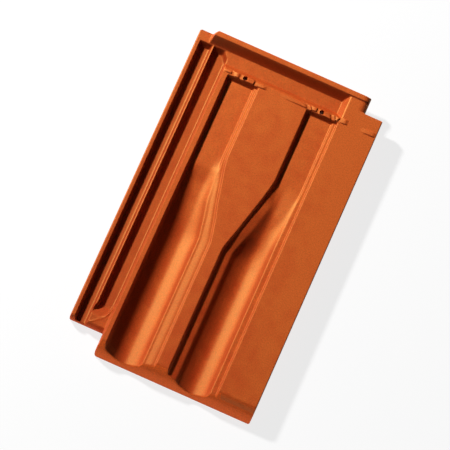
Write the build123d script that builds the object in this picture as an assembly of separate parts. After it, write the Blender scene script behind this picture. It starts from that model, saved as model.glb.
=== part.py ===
from build123d import *
import os

os.makedirs("parts", exist_ok=True)

# Interlocking clay roof tile with two troughs, pressed and fired as one piece.
# Millimetres. It is laid out from its left side, its foot edge and the floor, then centred.
# Left and right are as seen from above with the head rail at the far end.
# A depth or drop is counted down from the body's top.

# Overall size
tile_width = 265.0
tile_length = 450.0
body_top_height = 32.0
skin_thickness = 10.0

# Left flange with its two water channels
flange_foot_setback = 26.0
flange_head_setback = 4.0
flange_drop = 12.0
flange_underside_height = 2.0
flange_corner_radius = 3.0
channel_depth = 8.0
outer_wall_top = 5.5
first_channel_opening = 18.2
middle_rib_top = 2.2
second_channel_opening = 21.6
channel_steep_draft = 0.8
channel_gentle_draft = 3.2
channel_head_setback = 18.0
channel_head_slope = 5.6
body_side_lean = 3.0
flange_chamfer_length = 5.5
flange_chamfer_drop = 7.0

# Turned end of the inner channel, which sends its water to the outer one near the foot
diverter_start = 59.2
diverter_end = 32.2
diverter_lip_draft = 2.0
diverter_knee_inset = 3.5
diverter_knee_drop = 8.0
diverter_bend_reach = 11.0
diverter_bend_rise = 7.5
diverter_outlet_reach = 2.0
middle_rib_foot = 44.2
middle_rib_taper = 12.0

# Troughs, in widths and depths from each trough's outer edge
trough_left_inset = 57.7
trough_right_inset = 52.8
narrow_width = 43.0
narrow_depth = 7.5
narrow_wall_draft = 4.6
trough_head_setback = 47.9
trough_head_slope = 4.5
funnel_head_setback = 154.9
funnel_foot_setback = 259.9
bowl_width = 68.0
bowl_depth = 20.0
bowl_side_draft = 7.5
bowl_side_depth = 11.3
bowl_lowest_offset = 30.0
bowl_flank_offset = 49.0
bowl_flank_depth = 15.4
bowl_bulge_share = 0.24
shoulder_inner_offset = 54.0
shoulder_inner_depth = 10.6
shoulder_outer_offset = 61.0
shoulder_outer_depth = 8.3
floor_point_spacing = 2.0

# Clay that follows the troughs below, as reaches past the outlines above
hull_outer_reach = 7.0
hull_narrow_toe = 4.0
hull_bowl_toe = 2.0
hull_narrow_reach = 6.0
hull_narrow_heel = 2.0
hull_flank_reach = 4.0
hull_shoulder_reach = 7.0
hull_bowl_reach = 5.0
hull_bulge_share = 0.31
bowl_extra_skin = 1.0

# Rolled nose along the foot, as setbacks and drops
nose_start = 20.0
nose_break = 15.4
nose_break_drop = 2.0
nose_knee = 9.9
nose_knee_drop = 7.0
nose_belly = 3.9
nose_belly_drop = 19.5
nose_top_bulge = 0.5
nose_knee_bulge = 0.5
nose_bar_width = 19.0

# Right flap over the next tile
flap_width = 50.8
side_lap = 49.0
flap_rib_width = 7.0
flap_rib_clearance = 1.5
flap_rib_foot = 25.0
flap_rib_head_setback = 32.0
head_notch_width = 25.0
head_notch_length = 21.3
flap_corner_radius = 2.5

# Recessed landing for the tile above, and the rail that closes it at the head
landing_foot_setback = 40.8
landing_foot_slope = 6.3
landing_side_slope = 8.6
rail_left_setback = 19.5
rail_slant = 3.0
rail_rise = 1.5
rail_top_width = 7.2
rail_slope = 8.3
head_block_length = 53.0
landing_thickness = 10.0

# Hanging nibs and nail holes
nib_width = 36.0
nib_length = 16.0
nib_head_setback = 10.0
nib_draft = 1.5
nail_hole_diameter = 5.3
nail_hole_spacing = 108.3
nail_head_setback = 44.0
nail_side_shift = 1.0

# Working allowances: how far a cut runs past the clay, and how far joined blocks run together
over = 3.0
bite = 1.0

# Values that follow from the sizes above
top = body_top_height
skin_underside = top - skin_thickness
flange_top = top - flange_drop
channel_floor = flange_top - channel_depth
flange_head = tile_length - flange_head_setback
channel_head = tile_length - channel_head_setback
first_channel_left = outer_wall_top
first_channel_right = first_channel_left + first_channel_opening
second_channel_left = first_channel_right + middle_rib_top
second_channel_right = second_channel_left + second_channel_opening
body_left = second_channel_right + body_side_lean
flap_left = tile_width - flap_width
cover_width = tile_width - side_lap
trough_mirror = (trough_left_inset + tile_width - trough_right_inset) / 2
trough_head = tile_length - trough_head_setback
funnel_head = tile_length - funnel_head_setback
funnel_foot = tile_length - funnel_foot_setback
rail_foot = tile_length - rail_top_width
landing_foot = tile_length - landing_foot_setback
landing_underside = flange_top - landing_thickness


def level_face(points, height):
    """A level face from plan points."""
    wire = Polyline([(x, y, height) for x, y in points], close=True)
    return make_face(wire)


def block(points, low, high):
    """An upright block over a plan outline."""
    return extrude(level_face(points, low), amount=high - low, dir=(0, 0, 1))


def box(left, right, foot, head, low, high):
    """A plain rectangular block."""
    return block([(left, foot), (right, foot), (right, head), (left, head)], low, high)


def pocket(floor, rim, floor_height, rim_height):
    """A pressed pocket whose sloping sides carry on a little above its rim."""
    stretch = (rim_height + over - floor_height) / (rim_height - floor_height)
    upper = []
    for (fx, fy), (rx, ry) in zip(floor, rim):
        upper.append((fx + (rx - fx) * stretch, fy + (ry - fy) * stretch))
    low_face = level_face(floor, floor_height)
    high_face = level_face(upper, rim_height + over)
    return loft([low_face, high_face], ruled=True)


def cross_section(y, path, arcs, cap):
    """A section across the tile. The path runs left to right and is closed at the cap height."""
    edges = []
    for i in range(len(path) - 1):
        start = (path[i][0], y, path[i][1])
        end = (path[i + 1][0], y, path[i + 1][1])
        if i in arcs:
            edges.append(ThreePointArc(start, (arcs[i][0], y, arcs[i][1]), end))
        else:
            edges.append(Line(start, end))
    first = (path[0][0], y, path[0][1])
    last = (path[-1][0], y, path[-1][1])
    edges.append(Line(last, (last[0], y, cap)))
    edges.append(Line((last[0], y, cap), (first[0], y, cap)))
    edges.append(Line((first[0], y, cap), first))
    return make_face(edges)


def corner_fillet(solid, x, y, radius):
    """The upright edge at a plan corner, rounded."""
    near = solid.edges().filter_by(Axis.Z).sort_by_distance((x, y, top / 2))
    return fillet(near[0], radius)


# Left flange
flange = box(0, trough_left_inset, flange_foot_setback, flange_head,
             flange_underside_height, flange_top)
flange = corner_fillet(flange, 0, flange_head, flange_corner_radius)
chamfer_edge = Polyline(
    [
        (-over, flange_foot_setback, flange_top - flange_chamfer_drop),
        (-over, flange_foot_setback + flange_chamfer_length, flange_top),
        (-over, flange_foot_setback, flange_top),
    ],
    close=True,
)
flange = flange - extrude(make_face(chamfer_edge), amount=tile_width, dir=(1, 0, 0))

# Outer channel, open at the foot
outer_floor_left = first_channel_left + channel_steep_draft
outer_floor_right = first_channel_right - channel_gentle_draft
first_channel = pocket(
    [
        (outer_floor_left, flange_foot_setback - over),
        (outer_floor_right, flange_foot_setback - over),
        (outer_floor_right, channel_head - channel_head_slope),
        (outer_floor_left, channel_head - channel_head_slope),
    ],
    [
        (first_channel_left, flange_foot_setback - over),
        (first_channel_right, flange_foot_setback - over),
        (first_channel_right, channel_head),
        (first_channel_left, channel_head),
    ],
    channel_floor,
    flange_top,
)

# Inner channel, turned into the outer one by a slanting lip near the foot
rib_left = first_channel_right
rib_right = second_channel_left
inner_right = second_channel_right
inner_floor_left = rib_right + channel_steep_draft
inner_floor_right = inner_right - channel_gentle_draft
inner_head_floor = channel_head - channel_head_slope
rib_tip = (rib_left - channel_steep_draft, middle_rib_foot)
outlet = (rib_left - diverter_outlet_reach, diverter_end)
bend = (rib_right + diverter_bend_reach, diverter_end + diverter_bend_rise)
knee = (inner_right - diverter_knee_inset, diverter_start - diverter_knee_drop)
second_channel = pocket(
    [
        (inner_floor_left, inner_head_floor),
        (inner_floor_left, middle_rib_foot + middle_rib_taper),
        (rib_left - channel_gentle_draft, rib_tip[1] - channel_steep_draft),
        (outlet[0] - diverter_lip_draft, outlet[1] + diverter_lip_draft),
        (bend[0] - diverter_lip_draft / 2, bend[1] + diverter_lip_draft),
        (knee[0] - channel_gentle_draft, knee[1] + diverter_lip_draft),
        (inner_floor_right, diverter_start + diverter_lip_draft),
        (inner_floor_right, inner_head_floor),
    ],
    [
        (rib_right, channel_head),
        (rib_right, middle_rib_foot + middle_rib_taper),
        rib_tip,
        outlet,
        bend,
        knee,
        (inner_right, diverter_start),
        (inner_right, channel_head),
    ],
    channel_floor,
    flange_top,
)

# Body plate with the flap on its right, the notch at its head and a leaning left side
plate = block(
    [
        (second_channel_right, 0),
        (tile_width, 0),
        (tile_width, tile_length - head_notch_length),
        (tile_width - head_notch_width, tile_length - head_notch_length),
        (tile_width - head_notch_width, tile_length),
        (second_channel_right, tile_length),
    ],
    skin_underside,
    top,
)
plate = corner_fillet(plate, tile_width, tile_length - head_notch_length, flap_corner_radius)
side_wall = box(second_channel_right, trough_left_inset, flange_foot_setback, tile_length,
                flange_top, top)
side_foot = box(second_channel_right, trough_left_inset, 0, flange_foot_setback + bite,
                0, top)
side_lean = pocket(
    [
        (0, -over),
        (second_channel_right, -over),
        (second_channel_right, landing_foot),
        (0, landing_foot),
    ],
    [
        (0, -over),
        (body_left, -over),
        (body_left, landing_foot),
        (0, landing_foot),
    ],
    flange_top,
    top,
)

# Troughs: narrow and flat at the head, opening through a funnel into a deep shouldered bowl
edge = trough_left_inset
narrow_floor = top - narrow_depth
narrow_floor_right = edge + narrow_width - narrow_wall_draft
narrow_path = [
    (edge, top),
    (edge + narrow_wall_draft, narrow_floor),
    (edge + narrow_width / 2, narrow_floor),
    (narrow_floor_right - 2 * floor_point_spacing, narrow_floor),
    (narrow_floor_right - floor_point_spacing, narrow_floor),
    (narrow_floor_right, narrow_floor),
    (edge + narrow_width, top),
]
bowl_path = [
    (edge, top),
    (edge + bowl_side_draft, top - bowl_side_depth),
    (edge + bowl_lowest_offset, top - bowl_depth),
    (edge + bowl_flank_offset, top - bowl_flank_depth),
    (edge + shoulder_inner_offset, top - shoulder_inner_depth),
    (edge + shoulder_outer_offset, top - shoulder_outer_depth),
    (edge + bowl_width, top),
]
bowl_arcs = {
    1: (edge + (bowl_side_draft + bowl_lowest_offset) / 2,
        top - bowl_depth + (bowl_depth - bowl_side_depth) * bowl_bulge_share),
    2: (edge + (bowl_lowest_offset + bowl_flank_offset) / 2,
        top - bowl_depth + (bowl_depth - bowl_flank_depth) * bowl_bulge_share),
}
narrow_face = cross_section(funnel_head, narrow_path, {}, top + over)
bowl_face = cross_section(funnel_foot, bowl_path, bowl_arcs, top + over)
narrow_run = pocket(
    [
        (edge + narrow_wall_draft, funnel_head - bite),
        (narrow_floor_right, funnel_head - bite),
        (narrow_floor_right, trough_head - trough_head_slope),
        (edge + narrow_wall_draft, trough_head - trough_head_slope),
    ],
    [
        (edge, funnel_head - bite),
        (edge + narrow_width, funnel_head - bite),
        (edge + narrow_width, trough_head),
        (edge, trough_head),
    ],
    narrow_floor,
    top,
)
funnel = loft([bowl_face, narrow_face], ruled=True)
bowl_run = extrude(bowl_face, amount=funnel_foot + over, dir=(0, -1, 0))
trough = narrow_run + funnel + bowl_run

# The clay below each trough follows it one skin lower
narrow_under = narrow_floor - skin_thickness
bowl_under = top - bowl_depth - skin_thickness - bowl_extra_skin
flank_under = bowl_under + bowl_depth - bowl_flank_depth
side_under = top - bowl_side_depth - skin_thickness
narrow_hull_path = [
    (edge - hull_outer_reach, skin_underside),
    (edge - hull_narrow_toe, narrow_under),
    (edge + narrow_width / 2, narrow_under),
    (edge + narrow_width - hull_narrow_heel, narrow_under),
    (edge + narrow_width + hull_narrow_heel, narrow_under),
    (edge + narrow_width + hull_narrow_reach, skin_underside),
]
bowl_hull_path = [
    (edge - hull_outer_reach, skin_underside),
    (edge - hull_bowl_toe, side_under),
    (edge + bowl_lowest_offset, bowl_under),
    (edge + bowl_flank_offset + hull_flank_reach, flank_under),
    (edge + shoulder_inner_offset + hull_shoulder_reach,
     bowl_under + bowl_depth - shoulder_inner_depth),
    (edge + bowl_width + hull_bowl_reach, skin_underside),
]
bowl_hull_arcs = {
    1: (edge + (bowl_lowest_offset - hull_bowl_toe) / 2,
        bowl_under + (side_under - bowl_under) * hull_bulge_share),
    2: (edge + (bowl_lowest_offset + bowl_flank_offset + hull_flank_reach) / 2,
        bowl_under + (flank_under - bowl_under) * hull_bulge_share),
}
hull_head_face = cross_section(funnel_head, narrow_hull_path, {}, skin_underside + over)
hull_foot_face = cross_section(funnel_foot, bowl_hull_path, bowl_hull_arcs,
                               skin_underside + over)
hull_head_length = tile_length - head_block_length + over - funnel_head
hull = loft([hull_foot_face, hull_head_face], ruled=True)
hull = hull + extrude(hull_head_face, amount=hull_head_length, dir=(0, 1, 0))
hull = hull + extrude(hull_foot_face, amount=funnel_foot - nose_belly, dir=(0, -1, 0))

middle = Plane(origin=(trough_mirror, 0, 0), z_dir=(1, 0, 0))
second_trough = mirror(trough, about=middle)
second_hull = mirror(hull, about=middle)

# Thick head block under the landing and the nail holes
head_block = box(second_channel_right, flap_left - flap_rib_clearance - over,
                 tile_length - head_block_length, tile_length,
                 landing_underside, skin_underside + bite)

# Rail across the head, with one slanting end, and the landing pressed in front of it
landing_head = rail_foot - bite - rail_slope
rail_left_end = [
    (rail_left_setback, flange_head - bite),
    (rail_left_setback + rail_slant, tile_length),
]
rail_left_body = block(
    [
        (second_channel_right + bite, tile_length),
        (second_channel_right + bite, landing_head),
        (rail_left_setback, landing_head),
    ]
    + rail_left_end,
    flange_underside_height,
    top,
)
rail_top = block(
    [
        (tile_width - head_notch_width, tile_length),
        (tile_width - head_notch_width, rail_foot),
        (rail_left_setback, rail_foot),
    ]
    + rail_left_end,
    top - bite,
    top + rail_rise,
)
landing = pocket(
    [
        (rail_left_setback - over, landing_foot + landing_foot_slope),
        (flap_left - landing_side_slope, landing_foot + landing_foot_slope),
        (flap_left - landing_side_slope, landing_head),
        (rail_left_setback - over, landing_head),
    ],
    [
        (rail_left_setback - over, landing_foot),
        (flap_left, landing_foot),
        (flap_left, rail_foot - bite),
        (rail_left_setback - over, rail_foot - bite),
    ],
    flange_top,
    top,
)

# Ribs under the flap, set to hang in the channels of the next tile
flap_rib_low = channel_floor + flap_rib_clearance
rib_centres = [
    (first_channel_left + first_channel_right) / 2 + cover_width,
    (second_channel_left + second_channel_right) / 2 + cover_width,
]
flap_ribs = []
for centre in rib_centres:
    flap_ribs.append(
        box(centre - flap_rib_width / 2, centre + flap_rib_width / 2, flap_rib_foot,
            tile_length - flap_rib_head_setback, flap_rib_low, skin_underside + bite)
    )

# Rolled nose: a bar closes the foot, and all that lies past the roll is taken off
nose_bar = box(second_channel_right, tile_width, 0, nose_bar_width, 0, skin_underside + bite)
nose_edges = [
    Line((0, -over, -over), (0, -over, top + over)),
    Line((0, -over, top + over), (0, nose_start, top + over)),
    Line((0, nose_start, top + over), (0, nose_start, top)),
    ThreePointArc(
        (0, nose_start, top),
        (0, (nose_start + nose_break) / 2, top - nose_break_drop / 2 + nose_top_bulge),
        (0, nose_break, top - nose_break_drop),
    ),
    Line((0, nose_break, top - nose_break_drop), (0, nose_knee, top - nose_knee_drop)),
    ThreePointArc(
        (0, nose_knee, top - nose_knee_drop),
        (0, (nose_knee + nose_belly) / 2 - nose_knee_bulge,
         top - (nose_knee_drop + nose_belly_drop) / 2),
        (0, nose_belly, top - nose_belly_drop),
    ),
    Line((0, nose_belly, top - nose_belly_drop), (0, 0, 0)),
    Line((0, 0, 0), (0, 0, -over)),
    Line((0, 0, -over), (0, -over, -over)),
]
nose_cut = extrude(make_face(nose_edges), amount=tile_width + 2 * over, dir=(1, 0, 0))
nose_cut = Pos(-over, 0, 0) * nose_cut

# Hanging nibs under the head block, with an upright face toward the batten
nib_foot = tile_length - nib_head_setback - nib_length
nibs = []
for centre in (edge + narrow_width / 2, 2 * trough_mirror - edge - narrow_width / 2):
    left = centre - nib_width / 2
    right = centre + nib_width / 2
    nib_wire = Polyline(
        [
            (left + nib_draft, nib_foot, 0),
            (right - nib_draft, nib_foot, 0),
            (right, nib_foot, landing_underside + bite),
            (left, nib_foot, landing_underside + bite),
        ],
        close=True,
    )
    nibs.append(extrude(make_face(nib_wire), amount=nib_length, dir=(0, 1, 0)))

# Join the clay, then press the hollows into it
tile = flange + plate + side_wall + side_foot + head_block + hull + second_hull
tile = tile + nose_bar + rail_left_body
for piece in flap_ribs + nibs:
    tile = tile + piece
tile = tile - side_lean
tile = tile - landing + rail_top
tile = tile - first_channel - second_channel
tile = tile - trough - second_trough - nose_cut

# Nail holes through the head block
for side in (-1, 1):
    hole = Cylinder(nail_hole_diameter / 2, 3 * top)
    hole_x = trough_mirror - nail_side_shift + side * nail_hole_spacing / 2
    tile = tile - Pos(hole_x, tile_length - nail_head_setback, top / 2) * hole

tile = Pos(-tile_width / 2, -tile_length / 2, 0) * tile
tile.label = "roof_tile"

export_step(tile, "parts/roof_tile.step")
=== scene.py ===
import math

import bpy
import numpy as np
from mathutils import Matrix, Vector


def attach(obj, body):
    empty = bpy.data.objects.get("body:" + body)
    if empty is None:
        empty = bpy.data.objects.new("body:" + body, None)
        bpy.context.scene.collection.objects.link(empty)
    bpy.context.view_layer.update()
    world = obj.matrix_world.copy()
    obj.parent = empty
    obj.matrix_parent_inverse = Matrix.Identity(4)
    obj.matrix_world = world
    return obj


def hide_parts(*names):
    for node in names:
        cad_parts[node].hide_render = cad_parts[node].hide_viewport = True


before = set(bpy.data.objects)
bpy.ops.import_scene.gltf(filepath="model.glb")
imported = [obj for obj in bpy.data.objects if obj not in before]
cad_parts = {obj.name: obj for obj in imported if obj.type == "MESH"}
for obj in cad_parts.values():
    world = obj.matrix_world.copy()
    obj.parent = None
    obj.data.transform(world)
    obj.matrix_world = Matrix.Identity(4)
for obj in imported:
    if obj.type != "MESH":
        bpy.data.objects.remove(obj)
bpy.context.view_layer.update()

# Roof tile
# One clot of clay, pressed between two plaster moulds, coated with slip and fired in one piece, so
# every edge is a little rounded and every wall leans. Its sizes are in millimetres from the left
# side, the foot edge and the floor, and turn to metres about the frame's origin in its mesh.
TILE_WIDTH, TILE_LENGTH = 265.0, 450.0
BODY_TOP, RAIL_TOP, FLANGE_TOP, CHANNEL_FLOOR = 32.0, 33.5, 20.0, 11.2
FLANGE_FOOT, FLANGE_HEAD, FLANGE_EDGE = 29.8, 446.0, 47.5
NOTCH_SIDE, NOTCH_FOOT = 240.0, 428.7
TROUGH_SIDE, TROUGH_MIRROR = 57.7, 134.5
FUNNEL_FOOT, FUNNEL_HEAD = 190.1, 295.1
LANDING_FOOT, RAIL_FOOT, FLAP_SIDE = 409.2, 443.6, 214.2


def slope(v, v0, z0, v1, z1):
    """Height of a flat slope that passes z0 at v0 and z1 at v1."""
    return z0 + (v - v0) * (z1 - z0) / (v1 - v0)


def bowed(points, bows):
    """An outline cut into short runs, those named in bows bent down by so many millimetres."""
    across, down = [], []
    for i, (a, b) in enumerate(zip(points[:-1], points[1:])):
        for s in np.linspace(0, 1, 9)[:-1]:
            across.append(a[0] + (b[0] - a[0]) * s)
            down.append(a[1] + (b[1] - a[1]) * s + bows.get(i, 0.0) * 4 * s * (1 - s))
    return np.array(across + [points[-1][0]]), np.array(down + [points[-1][1]])


# Sections of the two troughs at six distances from the foot edge, from the bowls to the narrow
# runs: points across, and their depths below the body's top. The first trough has a wall, a round
# bottom, a step, a ledge and a rim, and the second has a ledge beside its wall too.
SECTIONS_AT = [190, 220, 240, 260, 280, 297]
FIRST_STEP, SECOND_STEP = 16, 22  # the point at the top of the step beside a bowl
FIRST_TROUGH = np.array([
    [(56.6, 0), (58.2, 6.4), (61, 9), (67.5, 12.6), (73, 15.3), (76, 16.8), (80, 18.4),
     (84, 19.4), (88, 19.7), (91, 19.1), (94, 18), (98, 16.4), (102, 14.3), (105, 12),
     (107.4, 9.2), (108.8, 6.4), (109.5, 5.3), (112.8, 5.2), (119, 3.6), (121.5, 3.1), (124.7, 3),
     (125.4, 0.4), (125.9, 0)],
    [(56.8, 0), (58.4, 6.4), (61, 8.6), (66.3, 11), (70.8, 13), (73.5, 14.3), (76.5, 15.2),
     (79.5, 15.7), (84.5, 15.9), (88, 15.6), (90.5, 15), (93.5, 13.7), (96.5, 12), (99, 10.3),
     (101.2, 8.3), (103.2, 6), (104.2, 5.3), (108.2, 5), (112.2, 3.5), (113.8, 3.05), (118, 3),
     (118.8, 0.4), (119.3, 0)],
    [(57, 0), (58.6, 6.4), (61, 8.2), (65.3, 9.6), (68.8, 11), (71.5, 12.2), (74.5, 13.2),
     (77.5, 13.7), (82, 13.9), (86, 13.8), (88.5, 13.2), (91, 12.1), (93.5, 10.6), (95.5, 9),
     (97.2, 7.3), (98.8, 5.8), (100.2, 5.2), (103.4, 4.8), (107.4, 3.4), (109.2, 3.05),
     (112.3, 3), (113.1, 0.4), (113.6, 0)],
    [(57.1, 0), (58.7, 6.4), (61, 7.8), (64.3, 8.7), (67, 9.7), (69.5, 10.7), (72, 11.5),
     (75, 11.9), (80, 12), (85, 11.9), (87.5, 11.4), (89.8, 10.5), (92, 9.4), (94.2, 8),
     (96, 6.4), (97.4, 5.4), (98.8, 4.9), (100.6, 4.4), (103, 3.5), (104.4, 3.15), (107.7, 3.1),
     (108.5, 0.4), (109, 0)],
    [(57.2, 0), (58.9, 6.4), (61, 7.1), (63.5, 7.4), (65.6, 7.6), (67.4, 7.7), (69.2, 7.7),
     (72.5, 7.7), (79, 7.7), (84.5, 7.7), (87, 7.6), (89, 7.2), (91, 6.6), (92.8, 6), (94.2, 5.5),
     (95.4, 5.1), (96.4, 4.7), (97.8, 4.3), (99.4, 4.05), (100.8, 3.95), (103.1, 3.9),
     (103.9, 0.4), (104.4, 0)],
    [(57.3, 0), (59, 6.4), (61, 7.2), (63, 7.4), (65, 7.4), (67, 7.4), (69, 7.4), (72, 7.4),
     (78, 7.4), (84, 7.4), (87, 7.4), (89.5, 7.4), (91.5, 7.4), (93, 7.4), (94.2, 7.4),
     (94.6, 7.3), (94.9, 6.9), (95.5, 4.1), (95.9, 3.8), (97.6, 3.7), (99.6, 3.6), (100.2, 0.4),
     (100.6, 0)],
])
SECOND_TROUGH = np.array([
    [(142.1, 0), (143.2, 0.8), (145, 4.9), (147.7, 5.8), (150.5, 6.5), (153.5, 7.3), (156.8, 8.2),
     (158.8, 10), (160.8, 11.9), (163, 13.4), (167, 15.6), (171, 17.5), (175, 19), (178.5, 20),
     (182, 20.3), (185, 19.8), (188, 18.8), (192, 17.2), (196, 14.9), (199, 12.4), (201.2, 9.4),
     (202.9, 6.4), (203.6, 5.3), (205.9, 5.2), (211.4, 5.2), (212.1, 0.4), (212.5, 0)],
    [(150.3, 0), (151.4, 0.8), (153.1, 3.6), (155.6, 4.1), (158.4, 4.8), (161.6, 5.7),
     (165.8, 6.9), (167.2, 7.7), (168.8, 8.6), (170.4, 9.5), (172.6, 10.7), (175.2, 12),
     (178, 13.2), (181, 14.2), (184, 14.7), (187, 14.6), (190, 14.1), (193, 13.3), (196.5, 11.9),
     (199.1, 10.2), (201.2, 8), (202.9, 5.9), (203.7, 5.2), (206, 5.1), (211.4, 5.1),
     (212.1, 0.4), (212.5, 0)],
    [(155.2, 0), (156.3, 0.8), (158, 3.6), (160.4, 4.1), (163, 4.8), (166.4, 5.8), (170.6, 6.9),
     (172, 7.5), (173.6, 8.3), (175.4, 9.2), (177.2, 10.1), (179, 10.9), (180.8, 11.6),
     (182.6, 12.2), (184.4, 12.5), (187.5, 12.6), (190, 12.4), (193, 11.8), (196, 10.7),
     (198.8, 9.4), (201, 8), (203, 6.2), (204.2, 5.2), (206.6, 5), (211.4, 4.9), (212.1, 0.4),
     (212.5, 0)],
    [(160.3, 0), (161.4, 0.8), (163.2, 4), (165.4, 4.5), (168.4, 5.1), (171.8, 5.8), (176, 6.7),
     (177.2, 7.3), (178.4, 7.9), (179.6, 8.4), (180.8, 8.9), (182, 9.3), (183.4, 9.6),
     (185, 9.75), (187, 9.6), (189.5, 9.2), (192.5, 8.8), (195.2, 8.4), (198, 7.9), (200.4, 7.3),
     (202.6, 6.3), (204, 5.3), (205.2, 4.8), (207.4, 4.6), (211.4, 4.6), (212.1, 0.4), (212.5, 0)],
    [(165, 0), (166.1, 0.8), (168, 4.2), (170, 4.7), (172.3, 5.4), (174.7, 6.3), (176.6, 7),
     (178, 7.3), (179.6, 7.6), (181.1, 7.8), (182.4, 7.95), (183.6, 8.05), (184.8, 8.05),
     (186, 7.95), (188, 7.7), (190.5, 7.35), (193.5, 6.95), (196, 6.65), (199, 6.25),
     (201.6, 5.95), (203, 5.6), (204.2, 5.1), (205.4, 4.5), (206.4, 4.2), (211.4, 4.1),
     (212.1, 0.4), (212.5, 0)],
    [(168.2, 0), (169.3, 0.8), (170.9, 5.2), (172.3, 6.5), (174, 6.7), (175.5, 6.7), (177, 6.7),
     (178.2, 6.7), (179.4, 6.7), (180.6, 6.7), (181.8, 6.7), (183, 6.7), (184.4, 6.7), (186, 6.7),
     (188, 6.7), (190.5, 6.7), (193.5, 6.7), (196, 6.7), (199, 6.7), (201.5, 6.7), (204.9, 6.7),
     (205.7, 6.5), (206.3, 4.2), (206.8, 3.9), (211.4, 3.8), (212, 0.4), (212.4, 0)],
])
# The skin's hidden side under the first trough, from the trough's left side
BOWL_UNDER = bowed([(-7, 10), (-2, 21.3), (30, 31), (53, 26.4), (61, 21.6), (73, 10)],
                   {1: 2.4, 2: 1.2})
NARROW_UNDER = bowed([(-7, 10), (-4, 17.5), (21.5, 17.5), (41, 17.5), (45, 17.5), (49, 10)], {})


def funnel_share(y):
    """0 where the troughs are bowls, 1 where they are narrow, with the two bends eased."""
    y = np.asarray(y, float)
    ease = 5.0
    ramps = [np.clip((y + d - FUNNEL_FOOT) / (FUNNEL_HEAD - FUNNEL_FOOT), 0, 1)
             for d in np.linspace(-ease, ease, 9)]
    return sum(ramps) / len(ramps)


def eased_place(y, ease):
    """Rows held between the end sections, with both bends eased over so many millimetres."""
    held = [np.clip(y + d, SECTIONS_AT[0], SECTIONS_AT[-1])
            for d in np.linspace(-ease, ease, 9)]
    return sum(held) / len(held)


def trough_depth(x, y):
    """Depth of both troughs below the body's top, for columns x and rows y."""
    plan_ease, fall_ease = 4.0, 14.0
    window = np.linspace(-1.5, 1.5, 9)
    depth = np.zeros((len(y), len(x)))
    for row, (plan, fall) in enumerate(zip(eased_place(y, plan_ease), eased_place(y, fall_ease))):
        for sections, step in ((FIRST_TROUGH, FIRST_STEP), (SECOND_TROUGH, SECOND_STEP)):
            across = [np.interp(plan, SECTIONS_AT, sections[:, k, 0])
                      for k in range(sections.shape[1])]
            down = [np.interp(fall, SECTIONS_AT, sections[:, k, 1])
                    for k in range(sections.shape[1])]
            sharp = np.interp(x, across, down)
            # The bowls are smooth between wall and step, and the rims and narrow runs stay sharp
            smooth = sum(np.interp(x + d, across, down) for d in window) / 9
            inner = np.minimum(x - across[0] - 4.0, across[step] - 1.2 - x)
            share = np.clip(inner / 2.0, 0, 1) * np.clip((SECTIONS_AT[-1] - plan) / 20.0, 0, 1)
            depth[row] = np.maximum(depth[row], sharp * (1 - share) + smooth * share)
    return depth


def nose_height(y):
    """Height of the foot edge, which rolls down to the floor, at a distance from the foot."""
    setback = [-8, 0, 3.9, 6.4, 8.0, 9.9, 15.4, 17.8, 20.0, 60.0]
    height = [-31.25, 0, 12.5, 18.75, 22.1, 25.0, 30.0, 31.5, 32.0, 50.0]
    return np.interp(y, setback, height)


def head_slant(y):
    """How far the rail's left end slants inwards towards the head edge."""
    return 3 * np.clip((y - FLANGE_HEAD) / 3.5, 0, 1)


# The turned end of the inner channel: its lip runs down to the left and sends water outwards
LIP = np.array([(46.8, 66.2), (45.7, 59.2), (43.1, 52.0), (37.4, 44.8), (30.1, 38.6), (22.6, 32.8)])


def beside_lip(x, y):
    """Distance from the lip's line, positive on its plateau side."""
    near = np.full(np.broadcast(x, y).shape, 1e9)
    signed = near.copy()
    for (x0, y0), (x1, y1) in zip(LIP[:-1], LIP[1:]):
        run = math.hypot(x1 - x0, y1 - y0)
        ux, uy = (x1 - x0) / run, (y1 - y0) / run
        along = np.clip((x - x0) * ux + (y - y0) * uy, 0, run)
        away = np.hypot(x - x0 - along * ux, y - y0 - along * uy)
        side = np.sign((x - x0) * -uy + (y - y0) * ux)
        closer = away < near
        near = np.where(closer, away, near)
        signed = np.where(closer, away * side, signed)
    return signed


# Pressed marks on the ridge that carries the nail holes. Each rises to the right and ends in a
# step: left edge, right edge, their slants, foot edge, head edge, rise
MARKS_AT = 406.3
MARKS = [
    (49.9, 60.6, 0.0, -0.28, 404.2, 408.0, 1.1),
    (63.9, 71.4, -0.25, 0.0, 402.8, 410.4, 1.8),
    (74.2, 92.6, 0.0, 0.15, 402.4, 410.4, 1.9),
    (94.4, 108.6, -0.3, 0.0, 402.8, 407.6, 1.3),
    (130.8, 165.8, 0.0, -0.6, 402.7, 407.7, 1.0),
    (168.2, 172.8, -0.75, -0.6, 401.4, 407.4, 1.4),
    (172.8, 180.8, -0.5, 0.0, 403.6, 410.8, 1.8),
    (183.0, 199.7, 0.0, -0.6, 402.2, 412.0, 1.9),
    (203.2, 206.4, -0.55, -0.5, 402.0, 411.4, 1.6),
    (206.7, 211.7, -0.45, 0.4, 403.4, 410.8, 1.4),
    (213.7, 222.8, 0.3, 0.0, 403.6, 410.4, 1.3),
    (243.3, 261.9, 0.0, 0.0, 403.4, 409.4, 1.1),
]


def ridge_marks(x, y):
    """Height that the pressed marks add to the body's top."""
    added = np.zeros(np.broadcast(x, y).shape)
    for left, right, slant_left, slant_right, foot, head, rise in MARKS:
        x0 = left + slant_left * (y - MARKS_AT)
        x1 = right + slant_right * (y - MARKS_AT)
        share = np.clip((x - x0) / (x1 - x0), 0, 1)
        inside = (x > x0) & (x < x1) & (y > foot) & (y < head)
        added = np.where(inside, rise * (1 - (1 - share) ** 2), added)
    # A shallow groove runs along the head side of the marks
    groove = (np.abs(y - 408.4) < 0.5) & (((x > 49) & (x < 62)) | ((x > 92) & (x < 166)))
    return np.where(groove, -0.9, added)


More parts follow.
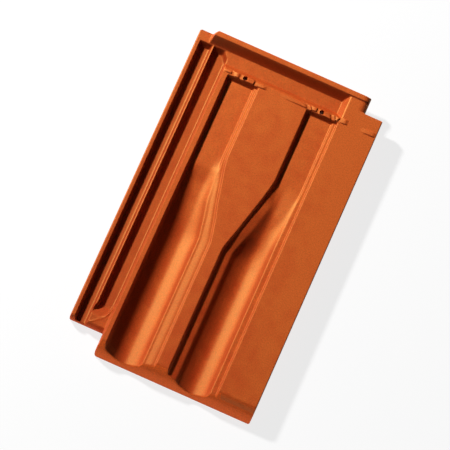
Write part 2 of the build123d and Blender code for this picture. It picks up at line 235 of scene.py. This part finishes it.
def weather_side(x, y):
    """Sharp heights of the side that faces the sky, before the edges are rounded."""
    gx, gy = x[None, :], y[:, None]
    # Body, with its troughs, its marks, its nose and its leaning left side
    head_wall = slope(gy, 397.6, 7.5, 402.1, 0.0)
    body = BODY_TOP - np.minimum(trough_depth(x, y), np.maximum(head_wall, 0))
    body = np.minimum(body + ridge_marks(gx, gy), nose_height(gy))
    body = np.minimum(body, slope(gx, FLANGE_EDGE, FLANGE_TOP, FLANGE_EDGE + 1.7, BODY_TOP))
    # Landing for the tile above
    landing = np.maximum(slope(gy, LANDING_FOOT, BODY_TOP, LANDING_FOOT + 6.3, FLANGE_TOP),
                         slope(gx, FLAP_SIDE - 7.4, FLANGE_TOP, FLAP_SIDE, BODY_TOP))
    body = np.minimum(body, np.maximum(landing, FLANGE_TOP))
    # Rail across the head
    rail = np.minimum(slope(gy, RAIL_FOOT - 10.2, FLANGE_TOP, RAIL_FOOT - 1.8, BODY_TOP),
                      slope(gx - 17.6 - head_slant(gy), 0.0, FLANGE_TOP, 2.8, RAIL_TOP))
    rail = np.minimum(rail, RAIL_TOP)
    # The head corner rolls down towards the notch
    notch_roll = np.interp(gx, [231.5, 234.0, 236.5, 240.5], [0.0, 0.5, 1.6, 4.2]) * (gy > 428)
    body, rail = body - notch_roll, rail - notch_roll
    # Outer channel, closed at the head
    head_end = slope(gy, 426.4, CHANNEL_FLOOR, 432.0, FLANGE_TOP)
    outer = np.interp(gx, [5.9, 7.6, 19.4, 20.8, 21.8, 23.0, 23.9],
                      [FLANGE_TOP, CHANNEL_FLOOR, CHANNEL_FLOOR, 11.7, 13.3, 19.2, FLANGE_TOP])
    outer = np.maximum(outer, head_end)
    # Inner channel, with a cut corner at the head and a floor that climbs to its outlet
    rib_side = 25.9 - 4.4 * np.clip((63.2 - gy) / 16, 0, 1)
    inner = np.maximum(slope(gx, rib_side, FLANGE_TOP, rib_side + 0.8, CHANNEL_FLOOR),
                       np.interp(gx, [44.8, 45.9, 46.7, 47.6],
                                 [CHANNEL_FLOOR, 11.7, 13.3, FLANGE_TOP]))
    head_corner = slope(gx + 0.8 * gy, 380.3, CHANNEL_FLOOR, 385.9, FLANGE_TOP)
    climb = CHANNEL_FLOOR + 8.3 * np.clip((62.0 - gy) / 16.0, 0, 1)
    inner = np.maximum(np.maximum(np.maximum(inner, head_end), head_corner), climb)
    # The lip stands up as a thin bead, and the flange lies a little lower beyond it
    lip = np.where(gy < 75, beside_lip(gx, gy), -99)
    inner = np.maximum(inner, np.interp(lip, [-2.0, -0.7, 0.1], [CHANNEL_FLOOR, 19.2, 20.5]))
    inner = np.where(lip > 0.3, np.interp(lip, [0.3, 1.0], [20.4, 19.4]), inner)
    # Flange, with the rib between the channels standing 0.3 mm proud
    most = np.where((gx > 20.5) & (gx < 30), FLANGE_TOP + 0.3, FLANGE_TOP + 0.6)
    flange = np.where(gx < 23.2, np.minimum(outer, FLANGE_TOP),
                      np.minimum(np.minimum(outer, inner), most))
    # Its foot edge rolls down, and the channels run out over it
    foot_roll = np.interp(gy, [29.8, 30.4, 31.8, 33.6, 35.6],
                          [8.0, 12.0, 15.6, 18.6, FLANGE_TOP + 0.4])
    flange = np.minimum(flange, np.maximum(foot_roll, CHANNEL_FLOOR * (gy > 31.0)))
    flange = np.where(gx > FLANGE_EDGE, -99, flange)
    return np.maximum(np.maximum(body, rail), flange)


STEP = 0.3  # between the points at which the weather side is worked out


def blurred(heights, sigma):
    """Heights smoothed as the mould and the wet clay round them, by sigma millimetres."""
    reach = int(3 * sigma / STEP)
    weight = np.exp(-0.5 * (np.arange(-reach, reach + 1) * STEP / sigma) ** 2)
    weight /= weight.sum()
    for axis in (0, 1):
        padded = np.pad(heights, [(reach, reach) if a == axis else (0, 0) for a in (0, 1)], "edge")
        size = heights.shape[axis]
        total = 0
        for k, w in enumerate(weight):
            total = total + w * (padded[k:k + size] if axis == 0 else padded[:, k:k + size])
        heights = total
    return heights


MARGIN = 6.0
raster_x = np.arange(-MARGIN, TILE_WIDTH + MARGIN, STEP)
raster_y = np.arange(-MARGIN, TILE_LENGTH + MARGIN, STEP)
sharp = weather_side(raster_x, raster_y)
crisp, soft = blurred(sharp, 0.4), blurred(sharp, 0.5)
# The flange and the marks stay crisp, and the body's own edges are softer
body_share = np.clip((raster_x[None, :] - 48) / 6, 0, 1)
marks_share = np.clip(1.6 - np.abs(raster_y[:, None] - MARKS_AT) / 5, 0, 1)
softness = body_share * (1 - marks_share)
# Nothing stands above the rail
pressed = np.minimum(crisp * (1 - softness) + soft * softness, RAIL_TOP)


def top_height(x, y):
    """Rounded height of the weather side at any points."""
    column, row = (x - raster_x[0]) / STEP, (y - raster_y[0]) / STEP
    i, j = column.astype(int), row.astype(int)
    a, b = column - i, row - j
    low = pressed[j, i] * (1 - a) + pressed[j, i + 1] * a
    high = pressed[j + 1, i] * (1 - a) + pressed[j + 1, i + 1] * a
    return low * (1 - b) + high * b


def under_height(x, y):
    """Height of the hidden side, which lies on the floor on its two nibs and its nose."""
    # Skin under the body and around both troughs, the second one mirrored
    share = funnel_share(y)
    depth = np.full(x.shape, 10.0)
    for from_left in (x, 2 * TROUGH_MIRROR - x):
        for s in np.unique(share):
            rows = share == s
            across = BOWL_UNDER[0] * (1 - s) + NARROW_UNDER[0] * s
            down = BOWL_UNDER[1] * (1 - s) + NARROW_UNDER[1] * s
            skin = np.interp(from_left[rows] - TROUGH_SIDE, across, down)
            depth[rows] = np.maximum(depth[rows], skin)
    z = np.where(y < 402, BODY_TOP - depth, 22.0)
    # The thick head under the landing and the rail
    z = np.where((y > 396.6) & (x < 210.5), np.minimum(z, 10.0), z)
    # Two ribs under the flap, which hang into the next tile's channels
    for centre in (230.6, 252.65):
        z = np.where((np.abs(x - centre) < 3.6) & (y > 24.6) & (y < 418.4), 13.5, z)
    # Two nibs, which hook over the batten
    for centre in (79.2, 190.7):
        z = np.where((np.abs(x - centre) < 18.2) & (y > 423.8) & (y < 440.2), 0.0, z)
    # Flange, its head corner and the nose
    z = np.where((x < 58) & (y > 19), 2.0, z)
    z = np.where((x > 48.6) & (x < 58) & (y > 442), 10.0, z)
    return np.where((y < 19.2) & (x > FLANGE_EDGE - 0.1), 0.0, z)


def spread(stations):
    """Grid lines from station to station, closer together beside each station."""
    crowd = 0.45
    lines = [stations[0][0]]
    for (start, _), (end, cells) in zip(stations[:-1], stations[1:]):
        s = np.linspace(0, 1, cells + 1)[1:]
        s = s * (1 - crowd) + crowd * s * s * (3 - 2 * s)
        lines.extend(start + (end - start) * s)
    return np.array(lines)


# The mesh follows a grid whose lines bend with the troughs. Its stations across: where each lies
# beside the bowls, where beside the narrow runs, and the number of cells before it
TROUGH_STATIONS = [(55.4, 55.8, 4), (59.4, 59.8, 10), (67.2, 62.5, 7), (83.7, 74.0, 8),
                   (92.7, 83.7, 9), (104.7, 92.4, 9), (111.0, 94.2, 10), (113.6, 95.1, 4),
                   (119.0, 96.6, 8), (124.4, 98.8, 7), (127.9, 102.2, 9)]
ACROSS = [(0.0, 0.0, 0), (1.6, 1.6, 6), (4.4, 4.4, 5), (7.6, 7.6, 8), (19.5, 19.5, 9),
          (28.0, 28.0, 22), (43.0, 43.0, 9), (47.5, 47.5, 12), (51.8, 51.8, 9)]
ACROSS += TROUGH_STATIONS
flip = 2 * TROUGH_MIRROR
cells_back = [26] + [s[2] for s in TROUGH_STATIONS[:3:-1]]
ACROSS += [(flip - b, flip - n, c) for (b, n, _), c in zip(TROUGH_STATIONS[:3:-1], cells_back)]
ACROSS += [(184.3, 186.0, 6), (199.6, 201.0, 10), (202.6, 204.0, 5), (207.2, 207.2, 14),
           (210.4, 210.4, 4), (213.6, 213.6, 11)]
ACROSS += [(226.4, 226.4, 8), (227.4, 227.4, 1), (233.8, 233.8, 4), (234.8, 234.8, 1),
           (240.0, 240.0, 4), (248.4, 248.4, 5), (249.4, 249.4, 1), (255.9, 255.9, 5),
           (256.9, 256.9, 1), (263.2, 263.2, 4), (265.0, 265.0, 6)]
# Stations along, and the number of cells before each
ALONG = [(0.0, 0), (1.6, 5), (4.0, 5), (19.0, 16), (20.0, 1), (28.8, 6), (29.8, 2), (36.4, 12),
         (67.0, 44), (176.0, 12), (205.0, 12), (284.0, 22), (302.0, 10), (396.2, 14), (397.2, 2),
         (400.0, 6), (412.4, 34), (417.0, 8), (423.4, 4), (424.4, 2), (428.7, 7), (433.0, 7),
         (439.6, 4), (440.6, 1), (444.0, 8), (446.0, 3), (450.0, 7)]

rows = spread(ALONG)
row_share = funnel_share(rows)
bowl_lines = spread([(b, c) for b, _, c in ACROSS])
narrow_lines = spread([(n, c) for _, n, c in ACROSS])
grid_x = bowl_lines[None, :] * (1 - row_share[:, None]) + narrow_lines[None, :] * row_share[:, None]
grid_y = np.repeat(rows[:, None], grid_x.shape[1], 1)

RAIL_SIDE = 19.5
# The lines beside the rail's left end slant with it
slanted = head_slant(grid_y) * np.clip(1 - np.abs(grid_x - RAIL_SIDE) / 8, 0, 1)

# Which cells of the grid are clay
mid_x = (grid_x[:-1, :-1] + grid_x[1:, 1:]) / 2
mid_y = (grid_y[:-1, :-1] + grid_y[1:, 1:]) / 2
clay = ~((mid_x < FLANGE_EDGE) & (mid_y < FLANGE_FOOT))
clay &= ~((mid_x < RAIL_SIDE) & (mid_y > FLANGE_HEAD))
clay &= ~((mid_x > NOTCH_SIDE) & (mid_y > NOTCH_FOOT))

# Distance in from the plan outline, for the rounded top edge
OUTLINE = [(0, FLANGE_FOOT), (FLANGE_EDGE, FLANGE_FOOT), (FLANGE_EDGE, 0), (TILE_WIDTH, 0),
           (TILE_WIDTH, NOTCH_FOOT), (NOTCH_SIDE, NOTCH_FOOT), (NOTCH_SIDE, TILE_LENGTH),
           (RAIL_SIDE, TILE_LENGTH), (RAIL_SIDE, FLANGE_HEAD), (0, FLANGE_HEAD)]
inward = np.full(grid_x.shape, 99.0)
for (x0, y0), (x1, y1) in zip(OUTLINE, OUTLINE[1:] + OUTLINE[:1]):
    dx = np.maximum(np.maximum(min(x0, x1) - grid_x, grid_x - max(x0, x1)), 0)
    dy = np.maximum(np.maximum(min(y0, y1) - grid_y, grid_y - max(y0, y1)), 0)
    inward = np.minimum(inward, np.hypot(dx, dy))
grid_x = grid_x + slanted
grid_z = top_height(grid_x, grid_y)
EDGE_RADIUS = 1.5
gone = EDGE_RADIUS - np.sqrt(EDGE_RADIUS ** 2 - np.clip(EDGE_RADIUS - inward, 0, EDGE_RADIUS) ** 2)
grid_z = np.maximum(grid_z - gone * np.clip((grid_z - 4) / 8, 0, 1), 0.2)
low_z = np.minimum(under_height(grid_x, grid_y), grid_z - 0.15)  # never through the top

# Outer corners of the plan, rounded by drawing the grid in
for corner_x, corner_y, radius in ((0, FLANGE_HEAD, 3.0), (TILE_WIDTH, NOTCH_FOOT, 2.5),
                                   (TILE_WIDTH, 0, 2.5), (FLANGE_EDGE, 0, 4.0),
                                   (0, FLANGE_FOOT, 2.0), (NOTCH_SIDE, TILE_LENGTH, 1.2)):
    side_x = 1 if corner_x in (TILE_WIDTH, NOTCH_SIDE) else -1
    side_y = 1 if corner_y in (FLANGE_HEAD, NOTCH_FOOT, TILE_LENGTH) else -1
    centre_x, centre_y = corner_x - side_x * radius, corner_y - side_y * radius
    a = (grid_x - centre_x) * side_x / radius
    b = (grid_y - centre_y) * side_y / radius
    inside = (a > 0) & (b > 0) & (a <= 1.001) & (b <= 1.001)
    round_a = a * np.sqrt(1 - b * b / 2, where=inside)
    round_b = b * np.sqrt(1 - a * a / 2, where=inside)
    grid_x = np.where(inside, centre_x + side_x * radius * round_a, grid_x)
    grid_y = np.where(inside, centre_y + side_y * radius * round_b, grid_y)


def thinned(stations, most):
    """Indices of the grid lines kept for the hidden side, at most so many millimetres apart."""
    kept, at = [0], 0
    for (start, *_), (end, *_, cells) in zip(stations[:-1], stations[1:]):
        parts = max(1, min(cells, int(round((end - start) / most))))
        kept += [at + int(round(cells * k / parts)) for k in range(1, parts + 1)]
        at += cells
    return sorted(set(kept))


# Weather side
used = np.zeros(grid_x.shape, bool)
for dj in (0, 1):
    for di in (0, 1):
        used[dj:dj + clay.shape[0], di:di + clay.shape[1]] |= clay
top_index, low_index = -np.ones(grid_x.shape, int), -np.ones(grid_x.shape, int)
top_index[used] = np.arange(used.sum())
points = list(zip(grid_x[used], grid_y[used], grid_z[used]))
cell_j, cell_i = np.nonzero(clay)
corners = [top_index[cell_j, cell_i], top_index[cell_j, cell_i + 1],
           top_index[cell_j + 1, cell_i + 1], top_index[cell_j + 1, cell_i]]
faces = np.stack(corners, 1).tolist()


def low_point(j, i):
    """Index of the hidden side's point under a grid point."""
    if low_index[j, i] < 0:
        low_index[j, i] = len(points)
        points.append((grid_x[j, i], grid_y[j, i], low_z[j, i]))
    return int(low_index[j, i])


def is_clay(j, i):
    """Whether the grid has a cell of clay there."""
    return 0 <= j < clay.shape[0] and 0 <= i < clay.shape[1] and bool(clay[j, i])


# Sides
for j, i in zip(cell_j, cell_i):
    for (j0, i0), (j1, i1), beside in (((j, i), (j, i + 1), (j - 1, i)),
                                       ((j, i + 1), (j + 1, i + 1), (j, i + 1)),
                                       ((j + 1, i + 1), (j + 1, i), (j + 1, i)),
                                       ((j + 1, i), (j, i), (j, i - 1))):
        if not is_clay(*beside):
            faces.append([int(top_index[j1, i1]), int(top_index[j0, i0]),
                          low_point(j0, i0), low_point(j1, i1)])

# Hidden side, on fewer lines
under_columns = thinned([(b, c) for b, _, c in ACROSS], 4.0)
under_rows = thinned(ALONG, 12.0)
for j0, j1 in zip(under_rows[:-1], under_rows[1:]):
    for i0, i1 in zip(under_columns[:-1], under_columns[1:]):
        if not is_clay(j0, i0):
            continue
        ring = [(j0, i) for i in (range(i0, i1) if not is_clay(j0 - 1, i0) else [i0])]
        ring += [(j, i1) for j in (range(j0, j1) if not is_clay(j0, i1) else [j0])]
        ring += [(j1, i) for i in (range(i1, i0, -1) if not is_clay(j1, i0) else [i1])]
        ring += [(j, i0) for j in (range(j1, j0, -1) if not is_clay(j0, i0 - 1) else [j1])]
        faces.append([low_point(j, i) for j, i in ring[::-1]])

tile_mesh = bpy.data.meshes.new("pressed_tile")
placed = (np.array(points) - [TILE_WIDTH / 2, TILE_LENGTH / 2, 0]) / 1000
tile_mesh.from_pydata(placed.tolist(), [], faces)
tile_mesh.validate()
tile = bpy.data.objects.new("pressed_tile", tile_mesh)
bpy.context.scene.collection.objects.link(tile)

# Nail holes, pricked through the head before firing, each with a funnel at its mouth
NAIL_HOLES = [(79.8, 406.0), (188.1, 406.0)]
PIN_LEVELS = [(-2.0, 2.65), (31.4, 2.65), (33.2, 3.5), (36.0, 6.0)]  # heights and radii
PIN_SIDES = 32
for x, y in NAIL_HOLES:
    turns = np.linspace(0, 2 * math.pi, PIN_SIDES + 1)[:-1]
    ring = []
    for z, radius in PIN_LEVELS:
        ring += [((x + radius * math.cos(t) - TILE_WIDTH / 2) / 1000,
                  (y + radius * math.sin(t) - TILE_LENGTH / 2) / 1000, z / 1000) for t in turns]
    walls = [list(range(PIN_SIDES))[::-1], list(range(3 * PIN_SIDES, 4 * PIN_SIDES))]
    for level in range(len(PIN_LEVELS) - 1):
        for k in range(PIN_SIDES):
            a, b = level * PIN_SIDES + k, level * PIN_SIDES + (k + 1) % PIN_SIDES
            walls.append([a, b, b + PIN_SIDES, a + PIN_SIDES])
    pin_mesh = bpy.data.meshes.new("pin")
    pin_mesh.from_pydata(ring, [], walls)
    pin = bpy.data.objects.new("pin", pin_mesh)
    bpy.context.scene.collection.objects.link(pin)
    cut = tile.modifiers.new("hole", "BOOLEAN")
    cut.operation, cut.object, cut.solver = "DIFFERENCE", pin, "EXACT"
    bpy.context.view_layer.objects.active = tile
    bpy.ops.object.modifier_apply(modifier=cut.name)
    bpy.data.objects.remove(pin)

tile.data.shade_smooth()
tile.data.set_sharp_from_angle(angle=math.radians(42))


# The tile's material: engobed roofing clay
# Fired brick-red clay under a thin slip, satin and slightly grainy. The slip gives a broad soft
# shine with a warm tint, and the pressed clay under it leaves fine pits and a faint mottle.
def linear(hex_colour):
    """A linear colour from an sRGB hex value."""
    parts = [int(hex_colour[k:k + 2], 16) / 255 for k in (0, 2, 4)]
    return [c / 12.92 if c <= 0.04045 else ((c + 0.055) / 1.055) ** 2.4 for c in parts] + [1.0]


def add_node(tree, kind, settings=None, inputs=None):
    """Adds a node, sets its properties, and sets or links its inputs."""
    node = tree.nodes.new(kind)
    for key, value in (settings or {}).items():
        setattr(node, key, value)
    for key, value in (inputs or {}).items():
        if isinstance(value, bpy.types.NodeSocket):
            tree.links.new(value, node.inputs[key])
        else:
            node.inputs[key].default_value = value
    return node


engobe = bpy.data.materials.new("engobed_roofing_clay")
engobe.use_nodes = True
tree = engobe.node_tree
tree.nodes.clear()
coordinates = add_node(tree, "ShaderNodeTexCoord")
place = coordinates.outputs["Object"]
# Clouds of 18 mm where the slip is thicker or thinner, and a grain. The real grain is under half a
# millimetre, too fine to show, so it is drawn at 1.6 mm
mottle = add_node(tree, "ShaderNodeTexNoise", None,
                  {"Vector": place, "Scale": 1 / 0.018, "Detail": 4.0, "Roughness": 0.6})
speckle = add_node(tree, "ShaderNodeTexNoise", None,
                   {"Vector": place, "Scale": 1 / 0.0016, "Detail": 3.0, "Roughness": 0.7})
# Painted light: the head is painted paler than the foot, as if lit more; the flap side is paler too
along = add_node(tree, "ShaderNodeSeparateXYZ", None, {"Vector": place})
painted_falloff_to_head = add_node(tree, "ShaderNodeMapRange", None,
                   {"Value": along.outputs["Y"], "From Min": -0.2, "From Max": 0.2,
                    "To Min": -0.2, "To Max": 0.2})
paler_to_flap = add_node(tree, "ShaderNodeMapRange", None,
                   {"Value": along.outputs["X"], "From Min": 0.07, "From Max": 0.115,
                    "To Max": 0.35})
painted_falloff_and_paler_flap = add_node(tree, "ShaderNodeMath", {"operation": "ADD"},
                 {0: painted_falloff_to_head.outputs["Result"], 1: paler_to_flap.outputs["Result"]})
mottle_and_painted_falloff = add_node(tree, "ShaderNodeMath", {"operation": "ADD"},
                 {0: mottle.outputs["Fac"], 1: painted_falloff_and_paler_flap.outputs[0]})
slip_ramp = add_node(tree, "ShaderNodeValToRGB", None, {"Fac": mottle_and_painted_falloff.outputs[0]})
slip_ramp.color_ramp.elements[0].position = 0.2
slip_ramp.color_ramp.elements[0].color = linear("BE3813")
slip_ramp.color_ramp.elements[1].position = 0.8
slip_ramp.color_ramp.elements[1].color = linear("CE541E")
# Painted shade: faces that turn away from the top and the head are painted a darker clay colour,
# and faces turned to the left get back only part of the lighter one, so steep walls read darker
toward_top_and_head = add_node(tree, "ShaderNodeVectorMath", {"operation": "DOT_PRODUCT"},
                  {0: coordinates.outputs["Normal"], 1: (-0.2, 0.42, 0.88)})
painted_light_from_above = add_node(tree, "ShaderNodeMapRange", None,
                   {"Value": toward_top_and_head.outputs["Value"], "From Min": 0.60, "From Max": 0.80})
toward_left_side = add_node(tree, "ShaderNodeVectorMath", {"operation": "DOT_PRODUCT"},
                       {0: coordinates.outputs["Normal"], 1: (-0.8, 0.0, 0.6)})
painted_light_from_left = add_node(tree, "ShaderNodeMapRange", None,
                        {"Value": toward_left_side.outputs["Value"], "From Min": 0.62, "From Max": 0.80,
                         "To Max": 0.55})
painted_wall_lit_share = add_node(tree, "ShaderNodeMath", {"operation": "MAXIMUM"},
                {0: painted_light_from_above.outputs["Result"], 1: painted_light_from_left.outputs["Result"]})
painted_wall_shade = add_node(tree, "ShaderNodeMix", {"data_type": "RGBA"},
                   {0: painted_wall_lit_share.outputs[0], 6: linear("962C10"), 7: slip_ramp.outputs["Color"]})
# The faces at the foot edge that lean to the foot are made matt, where the slip gathers thick, and
# painted brighter orange: painted light from the floor's bounce. Below the flap this lies lower
# down
leaning = add_node(tree, "ShaderNodeSeparateXYZ", None, {"Vector": coordinates.outputs["Normal"]})
to_foot = add_node(tree, "ShaderNodeMapRange", None,
                   {"Value": leaning.outputs["Y"], "From Min": -0.2, "From Max": -0.5})
beside = add_node(tree, "ShaderNodeMapRange", None,
                  {"Value": along.outputs["X"], "From Min": 0.078, "From Max": 0.086,
                   "To Max": 0.0225})
from_foot = add_node(tree, "ShaderNodeMath", {"operation": "ADD"},
                     {0: along.outputs["Y"], 1: beside.outputs["Result"]})
low_down = add_node(tree, "ShaderNodeMapRange", None,
                    {"Value": along.outputs["Y"], "From Min": -0.188, "From Max": -0.192,
                     "To Max": 0.65})
lowest = add_node(tree, "ShaderNodeMapRange", None,
                  {"Value": from_foot.outputs[0], "From Min": -0.188, "From Max": -0.192})
at_foot = add_node(tree, "ShaderNodeMath", {"operation": "MAXIMUM"},
                   {0: low_down.outputs["Result"], 1: lowest.outputs["Result"]})
painted_bounce_and_matt = add_node(tree, "ShaderNodeMath", {"operation": "MULTIPLY"},
                    {0: to_foot.outputs["Result"], 1: at_foot.outputs[0]})
painted_foot_bounce = add_node(tree, "ShaderNodeMix", {"data_type": "RGBA"},
                 {0: painted_bounce_and_matt.outputs[0], 6: painted_wall_shade.outputs[2], 7: linear("E6561A")})
# Painted shade: the floors of the channels and of the landing lie low and are painted darker
in_flange = add_node(tree, "ShaderNodeMath", {"operation": "LESS_THAN"},
                     {0: along.outputs["X"], 1: -0.0855})
in_landing = add_node(tree, "ShaderNodeMath", {"operation": "GREATER_THAN"},
                      {0: along.outputs["Y"], 1: 0.1885})
low_level = add_node(tree, "ShaderNodeMapRange", None,
                     {"Value": along.outputs["Z"], "From Min": 0.022, "From Max": 0.018})
in_lap = add_node(tree, "ShaderNodeMath", {"operation": "MAXIMUM"},
                  {0: in_flange.outputs[0], 1: in_landing.outputs[0]})
painted_recess_shade = add_node(tree, "ShaderNodeMath", {"operation": "MULTIPLY"},
                {0: in_lap.outputs[0], 1: low_level.outputs["Result"]})
painted_recess_shaded = add_node(tree, "ShaderNodeMix", {"data_type": "RGBA", "blend_type": "MULTIPLY"},
                  {0: painted_recess_shade.outputs[0], 6: painted_foot_bounce.outputs[2], 7: linear("DCC2B4")})
grain_ramp = add_node(tree, "ShaderNodeValToRGB", None, {"Fac": speckle.outputs["Fac"]})
grain_ramp.color_ramp.elements[0].position = 0.30
grain_ramp.color_ramp.elements[0].color = linear("D0D0D0")
grain_ramp.color_ramp.elements[1].position = 0.62
grain_ramp.color_ramp.elements[1].color = linear("FFFFFF")
coloured = add_node(tree, "ShaderNodeMix", {"data_type": "RGBA", "blend_type": "MULTIPLY"},
                    {0: 1.0, 6: painted_recess_shaded.outputs[2], 7: grain_ramp.outputs["Color"]})
grain_bump = add_node(tree, "ShaderNodeBump", None,
                      {"Height": speckle.outputs["Fac"], "Strength": 0.45, "Distance": 0.0004})
satin = add_node(tree, "ShaderNodeMapRange", None,
                 {"Value": mottle.outputs["Fac"], "To Min": 0.50, "To Max": 0.60})
rough = add_node(tree, "ShaderNodeMath", {"operation": "MAXIMUM"},
                 {0: satin.outputs["Result"], 1: painted_bounce_and_matt.outputs[0]})
# A glassy slip has an IOR near 1.5, and its shine takes the tint of the iron in it
shader = add_node(tree, "ShaderNodeBsdfPrincipled", None,
                  {"Base Color": coloured.outputs[2], "Roughness": rough.outputs[0],
                   "IOR": 1.55, "Specular IOR Level": 0.9, "Specular Tint": linear("FFDC78"),
                   "Normal": grain_bump.outputs["Normal"]})
add_node(tree, "ShaderNodeOutputMaterial", None, {"Surface": shader.outputs["BSDF"]})
tile.data.materials.append(engobe)
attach(tile, "root")
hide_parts("roof_tile")


# Studio floor
# A white card that the tile lies on. It shows as the white ground and keeps the shadow. For light
# bounced off it, it glows brighter than paper: painted light under the foot edge and the sides.
card_mesh = bpy.data.meshes.new("white_card")
card_mesh.from_pydata([(-3, -3, 0), (3, -3, 0), (3, 3, 0), (-3, 3, 0)], [], [(0, 1, 2, 3)])
card = bpy.data.objects.new("white_card", card_mesh)
bpy.context.scene.collection.objects.link(card)
paper = bpy.data.materials.new("white_card")
paper.use_nodes = True
tree = paper.node_tree
tree.nodes.clear()
seen = add_node(tree, "ShaderNodeLightPath")
ground_and_bounce_glow_strength = add_node(tree, "ShaderNodeMath", {"operation": "MULTIPLY_ADD"},
                      {0: seen.outputs["Is Diffuse Ray"], 1: 1.2, 2: 1.0})
ground_and_bounce_glow = add_node(tree, "ShaderNodeEmission", None,
                {"Color": linear("FFFFFF"), "Strength": ground_and_bounce_glow_strength.outputs[0]})
matt = add_node(tree, "ShaderNodeBsdfDiffuse", None, {"Color": linear("F4F4F4")})
shown = add_node(tree, "ShaderNodeMath", {"operation": "MULTIPLY"},
                 {0: seen.outputs["Is Camera Ray"], 1: 0.8})
ground_and_bounce_glow_share = add_node(tree, "ShaderNodeMath", {"operation": "MULTIPLY_ADD"},
                {0: seen.outputs["Is Diffuse Ray"], 1: 0.8, 2: shown.outputs[0]})
both = add_node(tree, "ShaderNodeMixShader", None,
                {0: ground_and_bounce_glow_share.outputs[0], 1: matt.outputs[0], 2: ground_and_bounce_glow.outputs[0]})
add_node(tree, "ShaderNodeOutputMaterial", None, {"Surface": both.outputs[0]})
card.data.materials.append(paper)

# Studio light
# One lamp from the head and the left, small enough for the photo's clear shadows, and a weak fill
# from the white room, stronger near the ground and weaker in reflections.
toward_lamp = Vector((-0.71, 0.37, 0.60)).normalized()
lamp_data = bpy.data.lights.new("key_lamp", "AREA")
lamp_data.shape, lamp_data.size = "DISK", 0.22
LAMP_DISTANCE = 2.6
lamp_data.energy = 5.3 * LAMP_DISTANCE ** 2 * math.pi
lamp = bpy.data.objects.new("key_lamp", lamp_data)
lamp.location = toward_lamp * LAMP_DISTANCE
lamp.rotation_mode = "QUATERNION"
lamp.rotation_quaternion = toward_lamp.to_track_quat("Z", "Y")
bpy.context.scene.collection.objects.link(lamp)
room = bpy.data.worlds.new("studio_room")
room.use_nodes = True
tree = room.node_tree
tree.nodes.clear()
direction = add_node(tree, "ShaderNodeTexCoord")
height = add_node(tree, "ShaderNodeSeparateXYZ", None, {"Vector": direction.outputs["Generated"]})
sweep = add_node(tree, "ShaderNodeMapRange", None,
                 {"Value": height.outputs["Z"], "From Min": 0.03, "From Max": 0.10,
                  "To Min": 3.0, "To Max": 0.03})
seen = add_node(tree, "ShaderNodeLightPath")
mirrored = add_node(tree, "ShaderNodeMath", {"operation": "MULTIPLY_ADD"},
                    {0: seen.outputs["Is Glossy Ray"], 1: -0.7, 2: 1.0})
weak = add_node(tree, "ShaderNodeMath", {"operation": "MULTIPLY"},
                {0: sweep.outputs["Result"], 1: mirrored.outputs[0]})
shown = add_node(tree, "ShaderNodeMix", None,
                 {0: seen.outputs["Is Camera Ray"], 2: weak.outputs[0], 3: 1.0})
fill = add_node(tree, "ShaderNodeBackground", None,
                {"Color": linear("FFFFFF"), "Strength": shown.outputs[0]})
add_node(tree, "ShaderNodeOutputWorld", None, {"Surface": fill.outputs[0]})
bpy.context.scene.world = room
bpy.context.scene.view_settings.view_transform = "Standard"

# Camera
# High above the tile, a little towards its foot and its right, turned, with a long lens.
LEAN, TOWARD, TURN = math.radians(78.6), math.radians(5.43), math.radians(-23.71)
CAMERA_DISTANCE, FOCAL_LENGTH = 4.2, 261.2
LOOK_AT = Vector((0.00055, -0.0032, 0.016))
back = Vector((math.sin(TOWARD) * math.cos(LEAN), -math.cos(TOWARD) * math.cos(LEAN),
               math.sin(LEAN)))
up = Vector((math.sin(TURN), math.cos(TURN), 0))
right = up.cross(back).normalized()
up = back.cross(right)
camera_data = bpy.data.cameras.new("camera")
camera_data.lens, camera_data.sensor_width = FOCAL_LENGTH, 36.0
camera_data.clip_end = 50.0
camera = bpy.data.objects.new("camera", camera_data)
camera.matrix_world = Matrix((
    (right.x, up.x, back.x, LOOK_AT.x + back.x * CAMERA_DISTANCE),
    (right.y, up.y, back.y, LOOK_AT.y + back.y * CAMERA_DISTANCE),
    (right.z, up.z, back.z, LOOK_AT.z + back.z * CAMERA_DISTANCE),
    (0, 0, 0, 1)))
bpy.context.scene.collection.objects.link(camera)
bpy.context.scene.camera = camera
